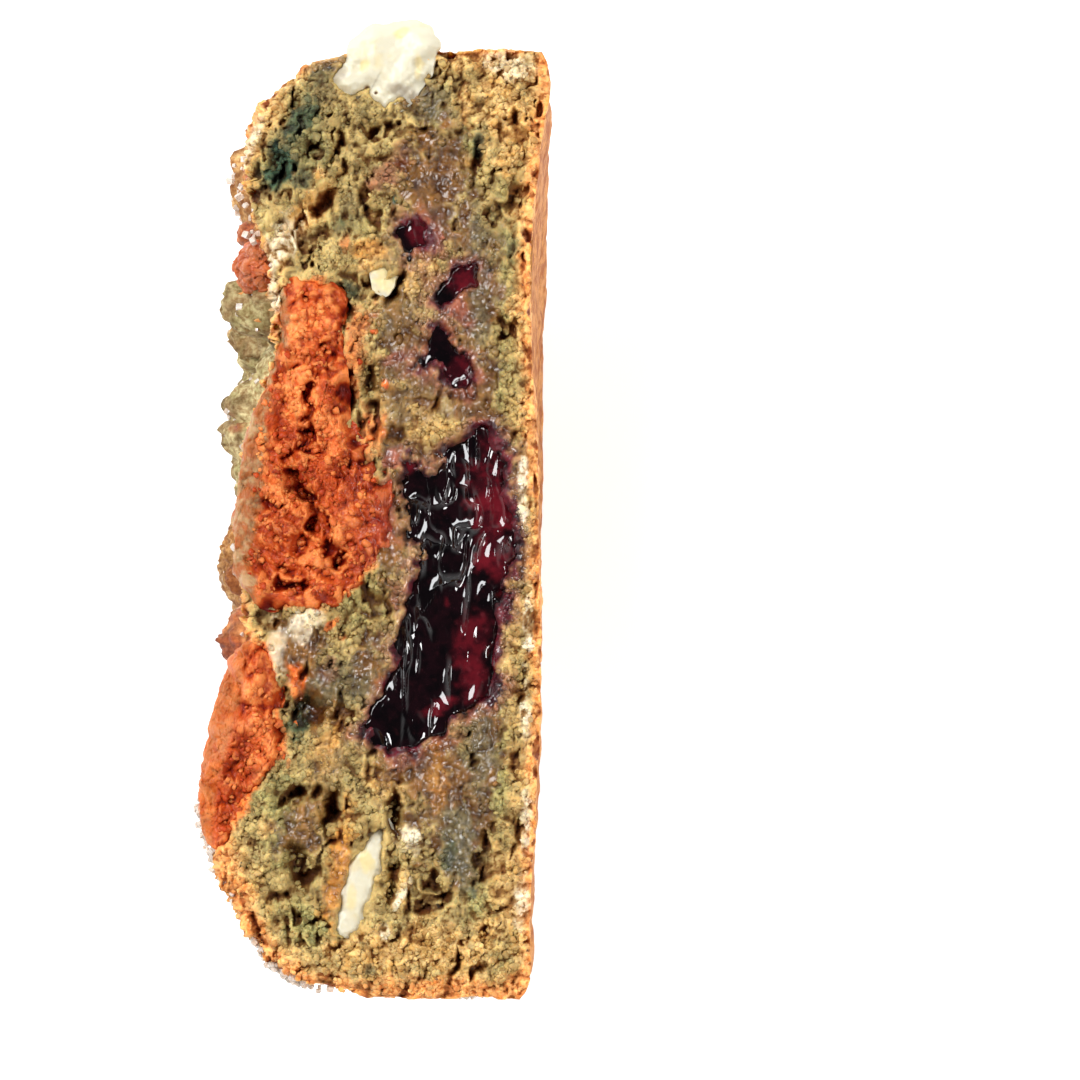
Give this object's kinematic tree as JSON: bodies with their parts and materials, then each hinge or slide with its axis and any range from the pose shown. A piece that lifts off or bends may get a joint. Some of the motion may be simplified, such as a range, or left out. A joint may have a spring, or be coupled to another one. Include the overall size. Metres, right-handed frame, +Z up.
{
  "type": "filled muffin half",
  "caption": "Half of a thick flat-based filled muffin, cut face up: jam centre, berry bits, white chocolate chunks, orange dough lumps, craggy sugared crust.",
  "frame": {"origin": "on the surface it rests on, below the middle of its bounding box", "axes": "+Z up, towards the cut face; +Y along the cut, towards the end with the white chocolate chunk; +X towards the flat baked base, -X towards the craggy dome"},
  "size_m": [0.0353, 0.0993, 0.0478],
  "materials": {
    "crumb": "moist open crumb with a browned sugared crust",
    "jam": "wet glossy dark berry jam",
    "orange_dough": "orange crumb with a smooth browned skin",
    "white_chocolate": "satin cream white chocolate"
  },
  "bodies": {
    "root": {"crumb": "crumb", "jam_centre": "jam", "berry_high": "jam", "berry_mid": "jam", "berry_low": "jam", "orange_centre": "orange_dough", "orange_side": "orange_dough", "orange_lump": "orange_dough", "white_chunk_top": "white_chocolate", "white_chunk_low": "white_chocolate", "white_bit": "white_chocolate"}
  },
  "joints": []
}
